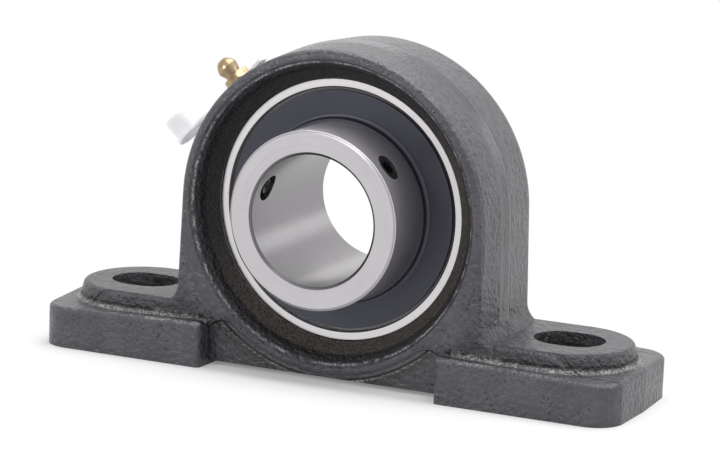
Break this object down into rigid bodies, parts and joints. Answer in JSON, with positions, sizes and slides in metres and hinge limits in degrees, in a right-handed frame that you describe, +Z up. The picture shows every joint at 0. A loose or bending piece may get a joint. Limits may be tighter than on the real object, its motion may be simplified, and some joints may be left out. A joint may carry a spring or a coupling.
{
  "type": "pillow block bearing",
  "caption": "Cast pillow block with a swivelling ball bearing insert, two set screws, and a grease nipple under a plastic dust cap.",
  "frame": {"origin": "on the base plane, midway between the two bolt slots, under the shaft centre", "axes": "+X along the base, toward the foot that lies away from the grease nipple; +Y along the shaft, toward the short end of the inner ring; +Z up from the base"},
  "size_m": [0.184, 0.0552, 0.0976],
  "materials": {
    "cast_paint": "dark grey paint over sand-cast iron, semi-gloss",
    "nipple_brass": "satin",
    "spring_wire": "drawn wire",
    "check_ball_steel": "polished",
    "cap_plastic": "translucent moulding",
    "outer_ring_steel": "ground",
    "inner_ring_steel": "ground",
    "seal_plate_steel": "pressed sheet",
    "seal_rubber": "matte",
    "slinger_steel": "dark satin",
    "cage_steel": "pressed sheet",
    "rivet_steel": "satin",
    "ball_steel": "polished",
    "screw_black": "black oxide"
  },
  "bodies": {
    "housing": {"housing": "cast_paint", "grease_nipple": "nipple_brass", "nipple_spring": "spring_wire"},
    "insert": {"outer_ring": "outer_ring_steel", "seal_front_plate": "seal_plate_steel", "seal_front_lip": "seal_rubber", "seal_rear_plate": "seal_plate_steel", "seal_rear_lip": "seal_rubber"},
    "rotor": {"inner_ring": "inner_ring_steel", "slinger_front": "slinger_steel", "slinger_rear": "slinger_steel"},
    "cage": {"cage_front": "cage_steel", "cage_rear": "cage_steel", "cage_rivets": "rivet_steel"},
    "dust_cap": {"dust_cap": "cap_plastic"},
    "nipple_ball": {"nipple_ball": "check_ball_steel"},
    "set_screw_1": {"set_screw_1": "screw_black"},
    "set_screw_2": {"set_screw_2": "screw_black"},
    "ball_1": {"ball_1": "ball_steel"},
    "ball_2": {"ball_2": "ball_steel"},
    "ball_3": {"ball_3": "ball_steel"},
    "ball_4": {"ball_4": "ball_steel"},
    "ball_5": {"ball_5": "ball_steel"},
    "ball_6": {"ball_6": "ball_steel"},
    "ball_7": {"ball_7": "ball_steel"},
    "ball_8": {"ball_8": "ball_steel"},
    "ball_9": {"ball_9": "ball_steel"}
  },
  "joints": [
    {"name": "insert_align", "type": "hinge", "parent": "housing", "child": "insert", "pos_m": [0, 0, 0.0492], "axis": [0, 0, 1], "range_deg": [-5, 5]},
    {"name": "shaft_spin", "type": "hinge", "parent": "insert", "child": "rotor", "pos_m": [0, 0, 0.0492], "axis": [0, 1, 0], "continuous": true},
    {"name": "cage_spin", "type": "hinge", "parent": "insert", "child": "cage", "pos_m": [0, 0, 0.0492], "axis": [0, 1, 0], "continuous": true},
    {"name": "ball_1_roll", "type": "hinge", "parent": "cage", "child": "ball_1", "pos_m": [0, 0, 0.0792], "axis": [0, 1, 0], "continuous": true},
    {"name": "ball_2_roll", "type": "hinge", "parent": "cage", "child": "ball_2", "pos_m": [-0.01928, 0, 0.07218], "axis": [0, 1, 0], "continuous": true},
    {"name": "ball_3_roll", "type": "hinge", "parent": "cage", "child": "ball_3", "pos_m": [-0.02954, 0, 0.05441], "axis": [0, 1, 0], "continuous": true},
    {"name": "ball_4_roll", "type": "hinge", "parent": "cage", "child": "ball_4", "pos_m": [-0.02598, 0, 0.0342], "axis": [0, 1, 0], "continuous": true},
    {"name": "ball_5_roll", "type": "hinge", "parent": "cage", "child": "ball_5", "pos_m": [-0.01026, 0, 0.02101], "axis": [0, 1, 0], "continuous": true},
    {"name": "ball_6_roll", "type": "hinge", "parent": "cage", "child": "ball_6", "pos_m": [0.01026, 0, 0.02101], "axis": [0, 1, 0], "continuous": true},
    {"name": "ball_7_roll", "type": "hinge", "parent": "cage", "child": "ball_7", "pos_m": [0.02598, 0, 0.0342], "axis": [0, 1, 0], "continuous": true},
    {"name": "ball_8_roll", "type": "hinge", "parent": "cage", "child": "ball_8", "pos_m": [0.02954, 0, 0.05441], "axis": [0, 1, 0], "continuous": true},
    {"name": "ball_9_roll", "type": "hinge", "parent": "cage", "child": "ball_9", "pos_m": [0.01928, 0, 0.07218], "axis": [0, 1, 0], "continuous": true},
    {"name": "set_screw_1_travel", "type": "slide", "parent": "rotor", "child": "set_screw_1", "axis": [0.766, 0, 0.6428], "range_m": [-0.0002, 0.003]},
    {"name": "set_screw_2_travel", "type": "slide", "parent": "rotor", "child": "set_screw_2", "axis": [-0.9397, 0, 0.342], "range_m": [-0.0002, 0.003]},
    {"name": "check_ball_lift", "type": "slide", "parent": "housing", "child": "nipple_ball", "axis": [0.766, 0, -0.6428], "range_m": [0, 0.0008], "stiffness_N_per_m": 400, "springref_m": -0.0008, "deforming": ["nipple_spring"]},
    {"name": "dust_cap_swivel", "type": "hinge", "parent": "housing", "child": "dust_cap", "pos_m": [-0.03815, 0, 0.08121], "axis": [-0.766, 0, 0.6428], "continuous": true}
  ],
  "couplings": [
    {"joint": "cage_spin", "follows": "shaft_spin", "ratio": 0.4},
    {"joint": "ball_1_roll", "follows": "shaft_spin", "ratio": -2.4},
    {"joint": "ball_2_roll", "follows": "shaft_spin", "ratio": -2.4},
    {"joint": "ball_3_roll", "follows": "shaft_spin", "ratio": -2.4},
    {"joint": "ball_4_roll", "follows": "shaft_spin", "ratio": -2.4},
    {"joint": "ball_5_roll", "follows": "shaft_spin", "ratio": -2.4},
    {"joint": "ball_6_roll", "follows": "shaft_spin", "ratio": -2.4},
    {"joint": "ball_7_roll", "follows": "shaft_spin", "ratio": -2.4},
    {"joint": "ball_8_roll", "follows": "shaft_spin", "ratio": -2.4},
    {"joint": "ball_9_roll", "follows": "shaft_spin", "ratio": -2.4}
  ]
}
